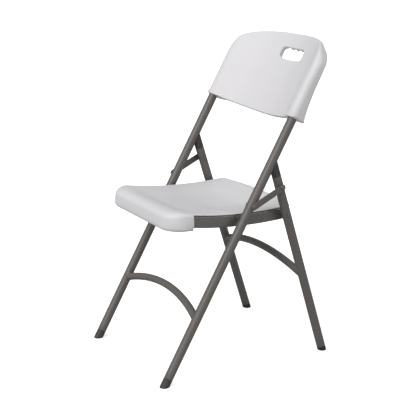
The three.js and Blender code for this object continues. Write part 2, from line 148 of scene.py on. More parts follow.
def make_object(name, points, quads, body, material, sharp_deg=None, polygons=()):
    """A mesh object from an array of points, an array of quads and a few larger polygons."""
    mesh = bpy.data.meshes.new(name)
    faces = [tuple(q) for q in np.asarray(quads).tolist()]
    mesh.from_pydata(np.asarray(points, float).tolist(), [], faces + [tuple(p) for p in polygons])
    mesh.validate()
    mesh.polygons.foreach_set("use_smooth", np.ones(len(mesh.polygons), bool))
    if sharp_deg is not None:
        mesh.set_sharp_from_angle(angle=math.radians(sharp_deg))
    mesh.materials.append(material)
    piece = bpy.data.objects.new(name, mesh)
    bpy.context.scene.collection.objects.link(piece)
    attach(piece, body)
    return piece


def grid_quads(rows, columns, close_rows=False, close_columns=True, start=0):
    """Quads between neighbouring points of a grid that is stored row by row."""
    r = np.arange(rows if close_rows else rows - 1)
    c = np.arange(columns if close_columns else columns - 1)
    r, c = np.meshgrid(r, c, indexing="ij")
    r2, c2 = (r + 1) % rows, (c + 1) % columns
    quads = np.stack([r * columns + c, r * columns + c2, r2 * columns + c2, r2 * columns + c], -1)
    return quads.reshape(-1, 4) + start


def lofted(name, rings, body, material, sharp_deg=None, flip=False):
    """A closed skin over rings of points, with a flat face on the first and on the last ring."""
    rows, columns = rings.shape[:2]
    quads = grid_quads(rows, columns)
    first = list(range(columns))[::-1]
    last = list(range((rows - 1) * columns, rows * columns))
    if flip:
        quads, first, last = quads[:, ::-1], first[::-1], last[::-1]
    return make_object(name, rings.reshape(-1, 3), quads, body, material, sharp_deg,
                       [first, last])


def circle(count):
    """Cosines and sines of evenly spaced angles round a circle."""
    turn = np.linspace(0, 2 * np.pi, count, endpoint=False)
    return np.cos(turn), np.sin(turn)


def turned(name, profile, origin, axis, body, material, count=40, sharp_deg=32):
    """A profile of (radius, height) pairs turned about an axis through origin."""
    axis = np.asarray(axis, float) / np.linalg.norm(axis)
    side = np.cross(axis, [0.0, 0.0, 1.0] if abs(axis[2]) < 0.9 else [0.0, 1.0, 0.0])
    side /= np.linalg.norm(side)
    other = np.cross(axis, side)
    c, s = circle(count)
    round_ = c[:, None] * side + s[:, None] * other
    r, h = np.asarray(profile, float).T
    rings = np.asarray(origin) + h[:, None, None] * axis + r[:, None, None] * round_
    return lofted(name, rings, body, material, sharp_deg)


def swept_tube(name, path, normal, radius, body, material, count=40):
    """A round tube along a flat path: each ring lies across the path, and normal is the
    direction at right angles to the plane that holds the path."""
    along = np.gradient(path, axis=0)
    along /= np.linalg.norm(along, axis=1)[:, None]
    across = np.cross(along, normal)
    c, s = circle(count)
    rings = path[:, None] + radius * (c[None, :, None] * across[:, None]
                                      + s[None, :, None] * np.asarray(normal)[None, None])
    return lofted(name, rings, body, material, 40)


def smooth(low, high, value):
    """0 below low, 1 above high, and an S-shaped rise between them."""
    t = np.clip((np.asarray(value, float) - low) / (high - low), 0, 1)
    return t * t * (3 - 2 * t)


def soft_min(a, b, width):
    """The lower of a and b, rounded off where they are closer than width."""
    near = np.clip(width - np.abs(a - b), 0, None) / width
    return np.minimum(a, b) - near * near * width / 4


def curve_through(knots, count=400):
    """Points on a smooth curve through knots: each stretch is a cubic whose end slopes point
    from the knot before to the knot after."""
    p = np.asarray(knots, float)
    p = np.vstack([2 * p[0] - p[1], p, 2 * p[-1] - p[-2]])
    t = np.linspace(0, len(p) - 3, count)
    i = np.minimum(t.astype(int), len(p) - 4)
    f = (t - i)[:, None]
    a, b, c, d = p[i], p[i + 1], p[i + 2], p[i + 3]
    return 0.5 * (2 * b + (c - a) * f + (2 * a - 5 * b + 4 * c - d) * f ** 2
                  + (3 * b - a - 3 * c + d) * f ** 3)


_rail_y, _rail_z = curve_through(RAIL_TOP).T


def rail_top(y):
    """Height of the rails' top edge at a distance behind the front feet."""
    return np.interp(y, _rail_y, _rail_z)


# ---------- materials ----------

def new_group(name, inputs, outputs):
    """An empty shader node group with float inputs and the given outputs."""
    tree = bpy.data.node_groups.new(name, "ShaderNodeTree")
    for socket, value in inputs.items():
        made = tree.interface.new_socket(name=socket, in_out="INPUT", socket_type="NodeSocketFloat")
        made.default_value = value
    for socket, kind in outputs.items():
        tree.interface.new_socket(name=socket, in_out="OUTPUT", socket_type=kind)
    return tree, tree.nodes.new("NodeGroupInput"), tree.nodes.new("NodeGroupOutput")


def noise_node(tree, coords, scale, detail=3.0):
    """Noise whose scale is a number or a socket."""
    node = tree.nodes.new("ShaderNodeTexNoise")
    node.inputs["Detail"].default_value = detail
    tree.links.new(coords, node.inputs["Vector"])
    if isinstance(scale, float):
        node.inputs["Scale"].default_value = scale
    else:
        tree.links.new(scale, node.inputs["Scale"])
    return node.outputs["Fac"]


def maths(tree, operation, a, b):
    """A maths node, whose inputs are numbers or sockets."""
    node = tree.nodes.new("ShaderNodeMath")
    node.operation = operation
    for socket, value in zip(node.inputs, (a, b)):
        if isinstance(value, (int, float)):
            socket.default_value = value
        else:
            tree.links.new(value, socket)
    return node.outputs[0]


def surface_grain():
    """Fine grain of a coated or moulded surface: a height from two sizes of noise, and a
    slow mottle from 0 to 1 that tints the colour and the roughness."""
    tree, inside, outside = new_group(
        "Surface Grain", {"Fine Scale": 900.0, "Coarse Scale": 120.0, "Coarse Share": 0.3},
        {"Height": "NodeSocketFloat", "Mottle": "NodeSocketFloat"})
    coords = tree.nodes.new("ShaderNodeTexCoord").outputs["Object"]
    fine = noise_node(tree, coords, inside.outputs["Fine Scale"], 2.0)
    coarse = noise_node(tree, coords, inside.outputs["Coarse Scale"], 3.0)
    share = maths(tree, "MULTIPLY", coarse, inside.outputs["Coarse Share"])
    height = maths(tree, "ADD", fine, share)
    mottle = noise_node(tree, coords, 14.0, 4.0)
    tree.links.new(height, outside.inputs["Height"])
    tree.links.new(mottle, outside.inputs["Mottle"])
    return tree


def scuffs():
    """A mask of small worn patches and short scratches, from stretched noise cut at a level."""
    tree, inside, outside = new_group("Scuffs", {"Amount": 0.3}, {"Mask": "NodeSocketFloat"})
    coords = tree.nodes.new("ShaderNodeTexCoord").outputs["Object"]
    stretch = tree.nodes.new("ShaderNodeMapping")
    stretch.inputs["Scale"].default_value = (1.0, 6.0, 0.35)
    tree.links.new(coords, stretch.inputs["Vector"])
    streak = noise_node(tree, stretch.outputs[0], 60.0, 5.0)
    patch = noise_node(tree, coords, 18.0, 3.0)
    both = maths(tree, "MULTIPLY", streak, patch)
    above = maths(tree, "SUBTRACT", both, 0.36)
    raised = maths(tree, "MULTIPLY", above, 14.0)
    limited = maths(tree, "MINIMUM", maths(tree, "MAXIMUM", raised, 0.0), 1.0)
    tree.links.new(maths(tree, "MULTIPLY", limited, inside.outputs["Amount"]),
                   outside.inputs["Mask"])
    return tree


GRAIN = surface_grain()
SCUFFS = scuffs()


def surface(name, base, worn, roughness, metallic=0.0, fine=900.0, coarse=120.0, share=0.3,
            bump=0.3, scuff=0.2, specular=0.5, mottle=0.06, bump_distance=0.00005):
    """A material whose grain gives the bump, whose mottle shifts colour and roughness a
    little, and whose scuffs lighten or darken towards the worn colour."""
    material = bpy.data.materials.new(name)
    material.use_nodes = True
    tree = material.node_tree
    shader = tree.nodes["Principled BSDF"]
    shader.inputs["Metallic"].default_value = metallic
    shader.inputs["Specular IOR Level"].default_value = specular
    grain = tree.nodes.new("ShaderNodeGroup")
    grain.node_tree = GRAIN
    grain.inputs["Fine Scale"].default_value = fine
    grain.inputs["Coarse Scale"].default_value = coarse
    grain.inputs["Coarse Share"].default_value = share
    marks = tree.nodes.new("ShaderNodeGroup")
    marks.node_tree = SCUFFS
    marks.inputs["Amount"].default_value = scuff

    tint = tree.nodes.new("ShaderNodeMix")
    tint.data_type = "RGBA"
    tint.inputs["A"].default_value = (*[c * (1 - mottle) for c in base], 1)
    tint.inputs["B"].default_value = (*[min(c * (1 + mottle), 1) for c in base], 1)
    tree.links.new(grain.outputs["Mottle"], tint.inputs["Factor"])
    wear = tree.nodes.new("ShaderNodeMix")
    wear.data_type = "RGBA"
    wear.inputs["B"].default_value = (*worn, 1)
    tree.links.new(tint.outputs["Result"], wear.inputs["A"])
    tree.links.new(marks.outputs["Mask"], wear.inputs["Factor"])
    tree.links.new(wear.outputs["Result"], shader.inputs["Base Color"])

    shift = maths(tree, "MULTIPLY", grain.outputs["Mottle"], 0.12)
    worn_rough = maths(tree, "MULTIPLY", marks.outputs["Mask"], 0.15)
    rough = maths(tree, "ADD", maths(tree, "ADD", shift, worn_rough), roughness - 0.06)
    tree.links.new(rough, shader.inputs["Roughness"])

    dent = tree.nodes.new("ShaderNodeBump")
    dent.inputs["Strength"].default_value = bump
    dent.inputs["Distance"].default_value = bump_distance
    tree.links.new(grain.outputs["Height"], dent.inputs["Height"])
    tree.links.new(dent.outputs["Normal"], shader.inputs["Normal"])
    return material


PAINT = surface("frame_paint", (0.142, 0.132, 0.124), (0.18, 0.168, 0.158), 0.46, metallic=0.25,
                fine=1100.0, coarse=260.0, share=0.6, bump=0.35, scuff=0.35)
# Painted light: the rails are the same powder coat as the tubes, but this copy of it is made a little
# lighter than the frame paint to lift the shade the rails stand in under the seat's rim. Its lower
# roughness and higher specular are for the highlight along the upper bend.
RAIL_PAINT_LIGHTENED_FOR_SHADE = surface("rail_paint", (0.150, 0.140, 0.132), (0.19, 0.18, 0.172), 0.27, metallic=0.25,
                     fine=1100.0, coarse=260.0, share=0.6, bump=0.25, scuff=0.35, specular=0.8)
WHITE = surface("white_plastic", (0.69, 0.678, 0.692), (0.62, 0.61, 0.61), 0.46, fine=1500.0,
                coarse=400.0, share=0.5, bump=0.30, scuff=0.10, specular=0.45, mottle=0.012,
                bump_distance=0.00002)
DARK = surface("dark_plastic", (0.050, 0.046, 0.043), (0.09, 0.085, 0.08), 0.58, fine=1300.0,
               coarse=300.0, bump=0.25, scuff=0.3)
RUBBER = surface("rubber", (0.022, 0.021, 0.020), (0.05, 0.048, 0.045), 0.78, fine=1500.0,
                 coarse=200.0, bump=0.4, scuff=0.5)
STEEL = surface("rivet_steel", (0.16, 0.152, 0.146), (0.24, 0.23, 0.22), 0.34, metallic=0.55,
                fine=1800.0, coarse=500.0, bump=0.12, scuff=0.4)
NYLON = surface("nylon", (0.085, 0.080, 0.076), (0.06, 0.058, 0.055), 0.5, fine=1300.0,
                coarse=300.0, bump=0.15, scuff=0.2)

SLOT_MATERIAL = {"frame_paint": PAINT, "rail_paint": RAIL_PAINT_LIGHTENED_FOR_SHADE, "white_plastic": WHITE,
                 "dark_plastic": DARK, "rubber": RUBBER, "rivet_steel": STEEL, "nylon": NYLON}
for part in frame["record"]["subparts"]:
    solid = frame["nodes"][part["node"]]
    solid.data.materials.clear()
    solid.data.materials.append(SLOT_MATERIAL[part["material_slot"]])


# ---------- plastic back ----------

def back_panel(x):
    """Front face of the panel, behind the front legs' axes: a hyperbola across the back."""
    return BACK_MIDDLE - BACK_SWEEP * (np.sqrt(x ** 2 + BACK_EASE ** 2) - BACK_EASE)


def back_front(x, along):
    """Front face of the back, behind the front legs' axes. Round each upright the panel meets
    a bead: a circle about the upright on its outer side, and on its inner side a wider cosine
    that runs on straight. The bead sinks back near the top. The lower of panel and bead
    counts, with a soft crease between them."""
    d = np.abs(x) - LEG_X
    outer = -np.sqrt(np.clip(BEAD_R ** 2 - d ** 2, 0, None))
    turn = np.pi / 2 * -d / BEAD_INNER
    inner = -BEAD_R * np.cos(np.clip(turn, 0, np.pi / 2)) + BEAD_R * np.clip(turn - np.pi / 2, 0, None)
    bead = np.where(d > 0, outer, inner) + 0.010 * smooth(0.88, 1.0, along)
    return soft_min(back_panel(x), bead, 0.018 + 0.016 * smooth(0.86, 0.99, along))


def back_rear(x, along):
    """Rear face of the back: the panel's own thickness in the middle, and deep columns at the
    uprights that are deepest at the foot and a little deeper again at the top corners."""
    panel = back_panel(x) + BACK_PANEL
    column = 0.0157 + 0.0165 * np.exp((BACK_BOTTOM - along) / 0.05)
    column = column + 0.011 * smooth(0.935, 1.000, along)
    share = smooth(0.146, 0.172, np.abs(x))
    return panel * (1 - share) + column * share


def back_outline(count):
    """Outline of the back seen along its thickness, as x and distance along the front leg,
    with its inward normals. Points are evenly spaced, and go round anticlockwise."""
    corner = 0.006
    turn = np.linspace(-np.pi / 2, 0, 8)
    foot = np.stack([BACK_X - corner + corner * np.cos(turn),
                     BACK_BOTTOM + corner + corner * np.sin(turn)], -1)
    arch = curve_through([(BACK_X, 0.860), (BACK_X, 0.900), (0.2083, 0.925), (0.2068, 0.947),
                          (0.1998, 0.966), (0.1862, 0.9830), (0.1595, 1.0035), (0.1315, 1.0175),
                          (0.0980, 1.0287), (0.0520, 1.0374), (0.0, BACK_TOP)], 160)
    lower = np.linspace(0, BACK_X - 2 * corner, 20)
    sill = np.stack([lower, BACK_BOTTOM + BACK_SILL * (1 - (lower / lower[-1]) ** 2)], -1)
    right = np.vstack([sill[1:], foot, arch[:-1]])
    left = right[::-1] * [-1, 1]
    loop = np.vstack([sill[:1], right, [(0.0, BACK_TOP)], left])
    loop = np.vstack([loop, loop[:1]])
    run = np.r_[0, np.cumsum(np.linalg.norm(np.diff(loop, axis=0), axis=1))]
    even = np.linspace(0, run[-1], count, endpoint=False)
    points = np.stack([np.interp(even, run, loop[:, k]) for k in (0, 1)], -1)
    ahead = np.roll(points, -1, 0) - np.roll(points, 1, 0)
    inward = np.stack([-ahead[:, 1], ahead[:, 0]], -1)
    return points, inward / np.linalg.norm(inward, axis=1)[:, None]


def slot_outline(outline, grow, grips):
    """Outline of the hand slot, one point for each point of the back's outline, in the same
    direction from the slot's centre. It is a superellipse, made larger by grow, and its upper
    edge has four shallow finger grips, grips deep."""
    centre = np.array([0.0, SLOT_CENTRE])
    way = outline - centre
    way /= np.linalg.norm(way, axis=1)[:, None]
    a, b = SLOT_SIZE[0] + grow, SLOT_SIZE[1] + grow
    reach = (np.abs(way[:, 0]) / a) ** SLOT_POWER + (np.abs(way[:, 1]) / b) ** SLOT_POWER
    reach = reach ** (-1 / SLOT_POWER)
    points = centre + reach[:, None] * way
    fingers = np.abs(np.sin(points[:, 0] / 0.022 * np.pi)) ** 0.7
    inside = 1 - smooth(0.036, 0.046, np.abs(points[:, 0]))
    upper = smooth(0.0, 0.010, points[:, 1] - SLOT_CENTRE)
    points[:, 1] += grips * (fingers - 0.55) * inside * upper
    return points


def build_back():
    """The back is one skin with a hole, like a flattened ring. Round the ring it follows the
    outline; across it runs over the front face from the slot to the rim, round the rim, over
    the rear face and back through the slot."""
    count = 600
    outline, inward = back_outline(count)
    sideways = smooth(0.35, 0.95, np.abs(inward[:, 0]))
    upwards = smooth(0.2, 0.9, -inward[:, 1])
    low = outline[:, 1] < BACK_BOTTOM + 0.004
    round_front = 0.0022 + 0.0052 * upwards
    round_front = round_front * (1 - sideways) + BEAD_R * sideways * smooth(1.03, 0.95, outline[:, 1])
    round_front = np.where(low, 0.0022, np.maximum(round_front, 0.0022))
    round_rear = 0.0022 + 0.0040 * upwards + 0.0045 * sideways * ~low

    def lip(radius, turn):
        """Point and depth on a quarter round of that radius, turn from the face to the rim."""
        inset = radius * (1 - np.sin(turn))
        return outline + inward * inset[:, None], radius * (1 - np.cos(turn))

    rows = []
    slot_front = slot_outline(outline, 0.0045, 0.0)
    slot_mouth = slot_outline(outline, 0.0, 0.0012)
    slot_rear = slot_outline(outline, 0.0, 0.0040)
    slot_back_edge = slot_outline(outline, 0.0030, 0.0040)

    start_front, _ = lip(round_front, 0.0)
    for s in np.linspace(0, 1, 56):
        flat = slot_front * (1 - s) + start_front * s
        rows.append((flat, back_front(flat[:, 0], flat[:, 1])))
    face = back_front(start_front[:, 0], start_front[:, 1])
    for turn in np.linspace(0, np.pi / 2, 10)[1:]:
        flat, depth = lip(round_front, turn)
        rows.append((flat, face + depth))
    start_rear, _ = lip(round_rear, 0.0)
    rear_face = back_rear(start_rear[:, 0], start_rear[:, 1])
    rear_face = np.maximum(rear_face, face + round_front + round_rear + 0.001)
    for s in np.linspace(0, 1, 6)[1:-1]:
        rows.append((outline, (face + round_front) * (1 - s) + (rear_face - round_rear) * s))
    for turn in np.linspace(np.pi / 2, 0, 7):
        flat, depth = lip(round_rear, turn)
        rows.append((flat, rear_face - depth))
    for s in np.linspace(0, 1, 40)[1:]:
        flat = start_rear * (1 - s) + slot_back_edge * s
        depth = back_rear(flat[:, 0], flat[:, 1])
        rows.append((flat, depth * (1 - (1 - s) ** 8) + rear_face * (1 - s) ** 8))
    rear_lip = back_rear(slot_back_edge[:, 0], slot_back_edge[:, 1])
    for turn in np.linspace(0, np.pi / 2, 5)[1:]:
        flat = slot_back_edge + (slot_rear - slot_back_edge) * np.sin(turn)
        rows.append((flat, rear_lip - 0.003 * (1 - np.cos(turn))))
    front_lip = back_front(slot_front[:, 0], slot_front[:, 1])
    inner = rear_lip - 0.003
    for s in np.linspace(0, 1, 6)[1:-1]:
        flat = slot_rear * (1 - s) + slot_mouth * s
        rows.append((flat, inner * (1 - s) + (front_lip + 0.0045) * s))
    for turn in np.linspace(np.pi / 2, 0, 7)[:-1]:
        flat = slot_front + (slot_mouth - slot_front) * np.sin(turn)
        rows.append((flat, front_lip + 0.0045 * (1 - np.cos(turn))))

    flat = np.stack([r[0] for r in rows])
    behind = np.stack([r[1] for r in rows])
    points = FRONT.place(flat[..., 0], behind, flat[..., 1])
    quads = grid_quads(len(rows), count, close_rows=True)
    piece = make_object("back_moulding", points.reshape(-1, 3), quads[:, ::-1], "frame",
                        WHITE, 50)
    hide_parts("backrest_shell")
    return piece


build_back()


# ---------- plastic seat ----------

SEAT_X = 0.171
SEAT_FRONT = 0.018
SEAT_REAR = 0.411
SEAT_BOW = 0.018
SEAT_STEP = 0.0030
LIP_LOW = 0.4165
FRONT_CORNER = 0.057
REAR_CORNER = 0.022


def seat_plan():
    """Plan of the seat as a grid of x and distance behind the front feet. Rows run from the
    front edge to the rear. A row's half width follows a circle at the front and rear corners,
    steps in where the rails begin so that their bend shows, and rows near the rear bow
    backwards in the middle."""
    turn = np.linspace(0, np.pi / 2, 26)
    front_y = SEAT_FRONT + FRONT_CORNER * (1 - np.cos(turn))
    front_x = SEAT_X - FRONT_CORNER + FRONT_CORNER * np.sin(turn)
    steps = [RAIL_ENDS[0] - 0.0010, RAIL_ENDS[0] - 0.0004, RAIL_ENDS[1] + 0.0004,
             RAIL_ENDS[1] + 0.0010]
    middle_y = np.unique(np.r_[np.linspace(front_y[-1], SEAT_REAR - REAR_CORNER, 110)[1:-1], steps])
    middle_y = middle_y[middle_y < SEAT_REAR - REAR_CORNER]
    rear_turn = np.linspace(0, np.pi / 2, 16)
    rear_y = SEAT_REAR - REAR_CORNER + REAR_CORNER * np.sin(rear_turn)
    rear_x = SEAT_X - SEAT_STEP - REAR_CORNER + REAR_CORNER * np.cos(rear_turn)
    y = np.r_[front_y, middle_y, rear_y]
    middle_x = np.where(middle_y < RAIL_ENDS[0] - 0.0007, SEAT_X, SEAT_X - SEAT_STEP)
    half = np.r_[front_x, middle_x, rear_x]
    u = np.sin(np.linspace(-np.pi / 2, np.pi / 2, 121))
    u = 0.55 * u + 0.45 * np.linspace(-1, 1, 121)
    x = half[:, None] * u[None]
    bowed = y[:, None] + SEAT_BOW * (1 - u[None] ** 2) * smooth(0.30, 0.411, y)[:, None]
    return x, bowed


def seat_top(x, y, half_room, front_room, rear_room):
    """Height of the seat's top. The rim follows the rails' saddle, the middle is dished, and
    the edges roll down: far at the front, and a little at the sides and the rear."""
    over_rail = y > RAIL_ENDS[0] - 0.0007
    rim = rail_top(np.clip(y, 0.062, 0.404)) + 0.0020
    across = 1 - smooth(0.045, 0.160, np.abs(x))
    lengthways = smooth(0.036, 0.120, y) * (1 - smooth(0.300, 0.405, y))
    dish = 0.0110 * across * lengthways
    front_roll = np.clip(1 - front_room / 0.027, 0, 1)
    side_roll = np.clip(1 - half_room / 0.009, 0, 1)
    rear_roll = np.clip(1 - rear_room / 0.014, 0, 1)
    side_drop = np.where(over_rail, 0.0014, 0.0055)
    drop = (0.0150 * (1 - np.sqrt(1 - front_roll ** 2)) + side_drop * (1 - np.sqrt(1 - side_roll ** 2))
            + 0.0075 * (1 - np.sqrt(1 - rear_roll ** 2)))
    return rim - dish - drop


def build_seat():
    """The seat is a top grid and a bottom grid with the same plan, joined by a wall of rows
    round the edge that tucks in at its foot. Over the rails the underside sits on them, and
    at the front it drops to form the deep front lip."""
    x, y = seat_plan()
    rows, columns = x.shape
    half = np.abs(x[:, -1:])
    front_curve = SEAT_FRONT + FRONT_CORNER - np.sqrt(np.clip(
        FRONT_CORNER ** 2 - np.clip(np.abs(x) - SEAT_X + FRONT_CORNER, 0, None) ** 2, 0, None))
    top = seat_top(x, y, half - np.abs(x), np.clip(y - front_curve, 0, None),
                   np.clip(y[-1:] - y, 0, None))

    saddle = rail_top(np.clip(y, 0.062, 0.404))
    on_rail = (y > RAIL_ENDS[0] - 0.0007) & (y < RAIL_ENDS[1] + 0.0007) & (
        np.abs(x) > RAIL_X - RAIL_DEPTH - 0.0006)
    pan = saddle - 0.024
    bottom = np.where(y < RAIL_ENDS[0] - 0.0007, LIP_LOW, pan)
    bottom = np.where(on_rail, saddle + 0.0003, bottom)
    bottom = np.where(y > RAIL_ENDS[1] + 0.0007, saddle - 0.020, bottom)

    index = np.arange(rows * columns).reshape(rows, columns)
    ring = np.r_[index[0, :-1], index[:-1, -1], index[-1, :0:-1], index[:0:-1, 0]]
    flat = np.stack([x.ravel(), y.ravel()], -1)
    edge = flat[ring]
    ahead = np.roll(edge, -1, 0) - np.roll(edge, 1, 0)
    inward = np.stack([-ahead[:, 1], ahead[:, 0]], -1)
    inward /= np.linalg.norm(inward, axis=1)[:, None]
    top_edge, low_edge = top.ravel()[ring], bottom.ravel()[ring]
    tall = smooth(0.010, 0.030, top_edge - low_edge)
    steps = np.linspace(0, 1, 15)[1:]
    wall = []
    for s in steps:
        tuck = (0.0008 + 0.0050 * tall) * np.clip((s - 0.72) / 0.28, 0, 1) ** 2.2
        bulge = -0.0012 * tall * np.sin(np.pi * s)
        place = edge + inward * (tuck + bulge)[:, None]
        wall.append(np.column_stack([place, top_edge * (1 - s) + low_edge * s]))
    wall = np.stack(wall)

    room = half - np.abs(x)
    bottom_x = x - np.sign(x) * 0.0058 * smooth(0.030, 0.0, room) * (y < 0.085)
    bottom_y = y + 0.0058 * smooth(0.060, 0.018, y) - 0.0058 * smooth(0.040, 0.0, y[-1:] - y)
    bottom_x, bottom_y = bottom_x.ravel(), bottom_y.ravel()
    bottom_x[ring], bottom_y[ring] = wall[-1, :, 0], wall[-1, :, 1]
    top_points = np.column_stack([x.ravel(), y.ravel(), top.ravel()])
    low_points = np.column_stack([bottom_x, bottom_y, bottom.ravel()])
    points = np.vstack([top_points, wall[:-1].reshape(-1, 3), low_points])
    points[:, 1] += FRONT_FOOT_Y
    size, around = rows * columns, len(ring)
    top_quads = grid_quads(rows, columns, close_columns=False)
    low_start = size + around * (len(steps) - 1)
    low_quads = grid_quads(rows, columns, close_columns=False, start=low_start)[:, ::-1]
    loops = [ring] + [size + around * k + np.arange(around) for k in range(len(steps) - 1)]
    loops.append(low_start + ring)
    wall_quads = [np.stack([a, b, np.roll(b, -1), np.roll(a, -1)], -1)
                  for a, b in zip(loops[:-1], loops[1:])]
    quads = np.vstack([top_quads, low_quads, *wall_quads])
    piece = make_object("seat_moulding", points, quads, "seat", WHITE, 50)
    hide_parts("seat_shell")
    return piece


build_seat()


# ---------- legs, feet, caps and braces ----------

def leg_tube(name, leg, side, start, end, body):
    """A straight round tube along a leg, with slightly rounded ends."""
    profile = [(TUBE_R - 0.0009, start), (TUBE_R - 0.0003, start + 0.0003), (TUBE_R, start + 0.0011)]
    profile += [(TUBE_R, h) for h in np.linspace(start + 0.02, end - 0.02, 24)]
    profile += [(TUBE_R, end - 0.0011), (TUBE_R - 0.0003, end - 0.0003), (TUBE_R - 0.0009, end)]
    origin = leg.foot + np.array([side * LEG_X, 0, 0])
    piece = turned(name + "_tube", profile, origin, leg.up, body, PAINT, 56, 60)
    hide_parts(name)


def foot_cap(name, leg, side, height, body, material):
    """A cap along the leg that is cut level on the floor. Each ring is a circle round the leg;
    the lowest ones slide along the leg until they lie on the floor, with a rounded edge."""
    c, s = circle(48)
    radius = TUBE_R - 0.0001
    level = -s * leg.behind[2] / leg.up[2]
    rings = []
    for inset, lift in ((0.0040, 0.0), (0.0016, 0.0), (0.0006, 0.0004), (0.0, 0.0015)):
        rings.append((radius - inset, (radius - inset) * level + lift))
    base = radius * level + 0.0015
    top = height - 0.0004
    for share in (0.25, 0.5, 0.75, 0.93):
        rings.append((radius, base * (1 - share) + (top - 0.0006) * share))
    rings += [(radius, np.full(48, top - 0.0006)), (radius - 0.0006, np.full(48, top))]
    points = np.stack([leg.place(side * LEG_X + r * c, r * s, along) for r, along in rings])
    piece = lofted(name + "_cap", points, body, material, 35)
    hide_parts(name)


def saddle_cap(name, side):
    """A cap on top of a rear leg that rests on the back of the front leg. Its end follows the
    front tube: at each point the height along the leg is where the cap meets that tube."""
    c, s = circle(64)
    start = REAR_TUBE_END + 0.0003
    radius = TUBE_R

    def end_height(r):
        """Where a ring of radius r meets the rear of the front tube."""
        across = r * c
        reach = np.maximum(np.sqrt(np.clip((TUBE_R + 0.0003) ** 2 - across ** 2, 0, None)), 0.006)
        base = REAR.place(side * LEG_X + across, r * s, np.zeros(64)) - FRONT.foot
        return (reach - base @ FRONT.behind) / (REAR.up @ FRONT.behind)

    rings = [(radius - 0.0008, np.full(64, start)), (radius, np.full(64, start + 0.0008))]
    end = end_height(radius)
    for share in (0.3, 0.6, 0.9, 0.97):
        rings.append((radius, (start + 0.0008) * (1 - share) + end * share))
    for r in np.linspace(1, 0.05, 12) * (radius - 0.0006):
        rings.append((r, end_height(r)))
    points = np.stack([REAR.place(side * LEG_X + r * c, r * s, along) for r, along in rings])
    piece = lofted(name + "_saddle", points, "rear_legs", DARK, 40)
    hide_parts(name)


def brace_tube(name, leg, along, rise, body):
    """A round tube that arches between two legs on part of a circle."""
    chord = LEG_X - 0.003
    radius = (chord ** 2 + rise ** 2) / (2 * rise)
    turn = math.asin(chord / radius) * np.linspace(-1, 1, 90)
    path = leg.place(radius * np.sin(turn), np.zeros(90),
                     along + rise - radius * (1 - np.cos(turn)))
    piece = swept_tube(name + "_tube", path, leg.behind, BRACE_R, body, PAINT, 40)
    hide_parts(name)


def weld_ring(name, leg, side, along, body):
    """A low fillet of weld where a brace meets a leg: a small ring whose foot follows the leg."""
    c, s = circle(40)
    rings = []
    for turn in np.linspace(0, np.pi, 9):
        reach = BRACE_R - 0.0006 + 0.0022 * np.sin(turn)
        across, up = reach * s, reach * c
        surface_x = np.sqrt(np.clip(TUBE_R ** 2 - across ** 2, 0, None))
        lift = 0.0022 * (turn / np.pi)
        rings.append(leg.place(side * (LEG_X - surface_x - lift), across, along + up))
    points = np.stack(rings)
    return lofted(name, points, body, PAINT, 60, flip=side > 0)


for label, side in SIDES:
    leg_tube(f"front_leg_{label}", FRONT, side, FRONT_TUBE_START, FRONT_TUBE_END, "frame")
    leg_tube(f"rear_leg_{label}", REAR, side, REAR_TUBE_START, REAR_TUBE_END, "rear_legs")
    foot_cap(f"front_foot_{label}", FRONT, side, FRONT_TUBE_START, "frame", DARK)
    foot_cap(f"rear_foot_{label}", REAR, side, REAR_TUBE_START, "rear_legs", RUBBER)
    saddle_cap(f"leg_cap_{label}", side)
    weld_ring(f"front_weld_{label}", FRONT, side, FRONT_BRACE["along"] + WELD_LIFT, "frame")
    weld_ring(f"rear_weld_{label}", REAR, side, REAR_BRACE["along"] + WELD_LIFT, "rear_legs")
brace_tube("front_brace", FRONT, FRONT_BRACE["along"], FRONT_BRACE["rise"], "frame")
brace_tube("rear_brace", REAR, REAR_BRACE["along"], REAR_BRACE["rise"], "rear_legs")


# ---------- seat rails ----------


def seat_rail(name, side):
    """A channel bent from sheet that is swept along the saddle. Its section is a closed loop
    of inward distance from the outer face and drop from the top edge."""
    bend, sheet = RAIL_BEND, RAIL_SHEET
    quarter = np.linspace(0, np.pi / 2, 6)
    outer = [(RAIL_DEPTH, 0.0)]
    outer += [(bend - bend * np.sin(t), bend - bend * np.cos(t)) for t in quarter]
    outer += [(bend - bend * np.cos(t), RAIL_HEIGHT - bend + bend * np.sin(t)) for t in quarter]
    outer += [(RAIL_DEPTH, RAIL_HEIGHT)]
    inner = [(RAIL_DEPTH, RAIL_HEIGHT - sheet), (sheet, RAIL_HEIGHT - sheet), (sheet, sheet),
             (RAIL_DEPTH, sheet)]
    section = np.array(outer + inner)
    y = np.linspace(RAIL_ENDS[0], RAIL_ENDS[1], 90)
    top = rail_top(y) - RAIL_DROP
    points = np.empty((len(y), len(section), 3))
    points[..., 0] = side * (RAIL_X - section[None, :, 0])
    points[..., 1] = y[:, None] + FRONT_FOOT_Y
    points[..., 2] = top[:, None] - section[None, :, 1]
    # The channel takes the lightened copy of the frame paint, which paints light into the rails'
    # shade.
    piece = lofted(name + "_channel", points, "seat", RAIL_PAINT_LIGHTENED_FOR_SHADE, 40, flip=side > 0)
    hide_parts(name)


for label, side in SIDES:
    seat_rail(f"seat_rail_{label}", side)


# ---------- links, washers and rivets ----------

